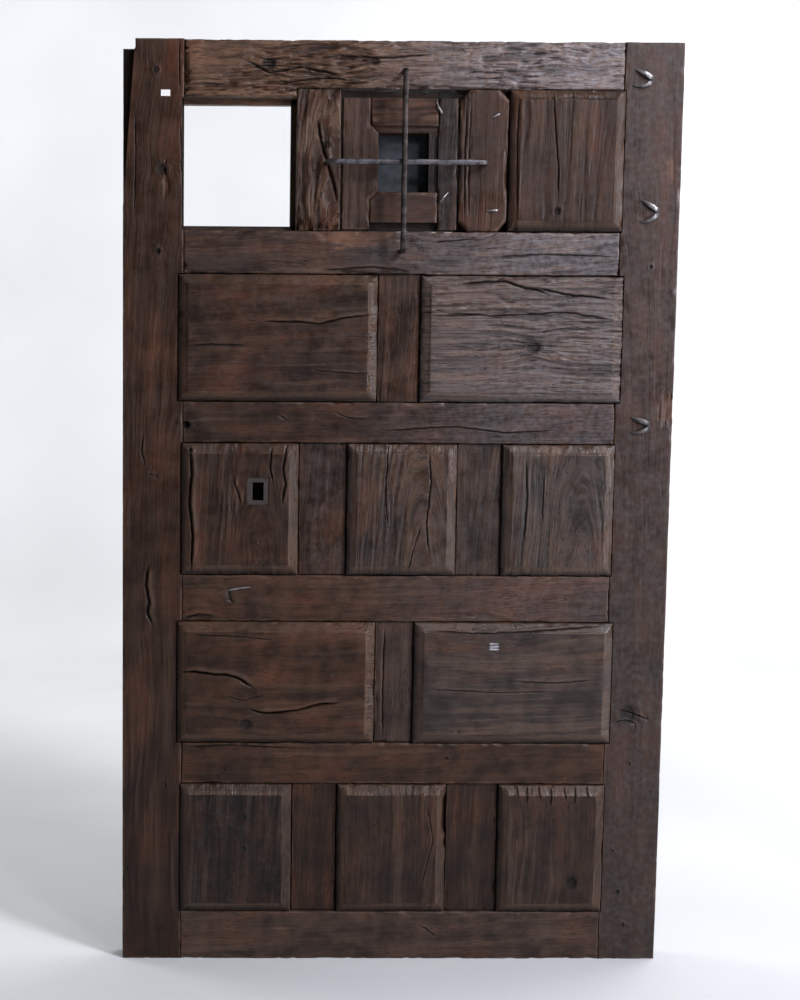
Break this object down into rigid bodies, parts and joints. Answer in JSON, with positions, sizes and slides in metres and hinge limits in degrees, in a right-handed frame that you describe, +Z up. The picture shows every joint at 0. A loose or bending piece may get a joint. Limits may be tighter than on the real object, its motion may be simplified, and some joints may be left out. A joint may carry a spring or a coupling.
{
  "type": "panelled wooden door leaf",
  "caption": "Old rectangular framed door leaf with raised panels, one panel missing, a hinged wicket behind a cross-bar iron grille, a rim lock and forged hinge eyes.",
  "frame": {"origin": "middle of the leaf's bottom edge, at half its thickness", "axes": "+X from the lock stile to the hanging stile, +Y out of the back, +Z up; the raised panels face -Y"},
  "size_m": [1.092, 0.119, 1.84],
  "materials": {
    "lock_stile_wood": "old waxed pine, dark, eroded along the grain, worn edges",
    "hanging_stile_wood": "old waxed pine, dark, eroded along the grain, worn edges",
    "top_rail_wood": "old waxed pine, dark, eroded along the grain, worn edges",
    "second_rail_wood": "old waxed pine, dark, eroded along the grain, worn edges",
    "third_rail_wood": "old waxed pine, dark, eroded along the grain, worn edges",
    "fourth_rail_wood": "old waxed pine, dark, eroded along the grain, worn edges",
    "fifth_rail_wood": "old waxed pine, dark, eroded along the grain, worn edges",
    "bottom_rail_wood": "old waxed pine, dark, eroded along the grain, worn edges",
    "muntin_wood": "old waxed pine, dark, eroded along the grain, worn edges",
    "panel_1_wood": "old waxed pine, dark, eroded along the grain, worn edges",
    "panel_2_left_wood": "old waxed pine, dark, eroded along the grain, worn edges",
    "panel_2_right_wood": "old waxed pine, dark, eroded along the grain, worn edges",
    "panel_3_left_wood": "old waxed pine, dark, eroded along the grain, worn edges",
    "panel_3_middle_wood": "old waxed pine, dark, eroded along the grain, worn edges",
    "panel_3_right_wood": "old waxed pine, dark, eroded along the grain, worn edges",
    "panel_4_left_wood": "old waxed pine, dark, eroded along the grain, worn edges",
    "panel_4_right_wood": "old waxed pine, dark, eroded along the grain, worn edges",
    "panel_5_left_wood": "old waxed pine, dark, eroded along the grain, worn edges",
    "panel_5_middle_wood": "old waxed pine, dark, eroded along the grain, worn edges",
    "panel_5_right_wood": "old waxed pine, dark, eroded along the grain, worn edges",
    "peg_wood": "old waxed pine, dark, eroded along the grain, worn edges",
    "wicket_wood": "old waxed pine, dark, eroded along the grain, worn edges",
    "sheet_iron": "forged iron, dark with old rust and wax",
    "nail_iron": "forged iron, rubbed bright on its high places",
    "hinge_iron": "forged iron, dark with old rust and wax",
    "grille_iron": "forged iron, dark with old rust and wax",
    "keyhole_iron": "forged iron, dark with old rust and wax",
    "lock_iron": "forged iron, dark with old rust and wax",
    "worn_iron": "forged iron, rubbed bright on its high places",
    "eye_iron": "forged iron, rubbed bright on its high places",
    "turn_button_wood": "old waxed pine, dark, eroded along the grain, worn edges",
    "paper_tag": "plain matt paper"
  },
  "bodies": {
    "leaf": {"lock_stile": "lock_stile_wood", "hanging_stile": "hanging_stile_wood", "top_rail": "top_rail_wood", "second_rail": "second_rail_wood", "third_rail": "third_rail_wood", "fourth_rail": "fourth_rail_wood", "fifth_rail": "fifth_rail_wood", "bottom_rail": "bottom_rail_wood", "muntin_1": "muntin_wood", "clipped_muntin": "muntin_wood", "muntin_2": "muntin_wood", "muntin_3_left": "muntin_wood", "muntin_3_right": "muntin_wood", "muntin_4": "muntin_wood", "muntin_5_left": "muntin_wood", "muntin_5_right": "muntin_wood", "panel_1": "panel_1_wood", "panel_2_left": "panel_2_left_wood", "panel_2_right": "panel_2_right_wood", "panel_3_left": "panel_3_left_wood", "panel_3_middle": "panel_3_middle_wood", "panel_3_right": "panel_3_right_wood", "panel_4_left": "panel_4_left_wood", "panel_4_right": "panel_4_right_wood", "panel_5_left": "panel_5_left_wood", "panel_5_middle": "panel_5_middle_wood", "panel_5_right": "panel_5_right_wood", "tenon_pegs": "peg_wood", "upper_hinge_muntin_leaf": "hinge_iron", "upper_hinge_pin": "hinge_iron", "lower_hinge_muntin_leaf": "hinge_iron", "lower_hinge_pin": "hinge_iron", "muntin_hinge_nails": "nail_iron", "grille_upright": "grille_iron", "grille_crossbar": "grille_iron", "keyhole_plate": "keyhole_iron", "keyhole_plate_nails": "nail_iron", "lock_case": "lock_iron", "lock_spring": "worn_iron", "lock_case_nails": "nail_iron", "rail_nail": "nail_iron", "hinge_eye_top": "eye_iron", "hinge_eye_middle": "eye_iron", "hinge_eye_low": "eye_iron", "turn_button_nail": "nail_iron", "paper_tag": "paper_tag"},
    "wicket": {"wicket_free_stile": "wicket_wood", "wicket_hinge_stile": "wicket_wood", "wicket_top_rail": "wicket_wood", "wicket_bottom_rail": "wicket_wood", "spyhole_sheet": "sheet_iron", "spyhole_sheet_nails": "nail_iron", "upper_hinge_wicket_leaf": "hinge_iron", "lower_hinge_wicket_leaf": "hinge_iron", "wicket_hinge_nails": "nail_iron"},
    "bolt": {"lock_bolt": "worn_iron"},
    "button": {"turn_button": "turn_button_wood"}
  },
  "joints": [
    {"name": "wicket_swing", "type": "hinge", "parent": "leaf", "child": "wicket", "pos_m": [0.10975, 0.0315, 1.611], "axis": [0, 0, -1], "range_deg": [0, 100]},
    {"name": "bolt_slide", "type": "slide", "parent": "leaf", "child": "bolt", "axis": [-1, 0, 0], "range_m": [0, 0.026]},
    {"name": "button_turn", "type": "hinge", "parent": "leaf", "child": "button", "pos_m": [-0.142, 0.0313, 1.611], "axis": [0, 1, 0], "range_deg": [0, 90]}
  ]
}
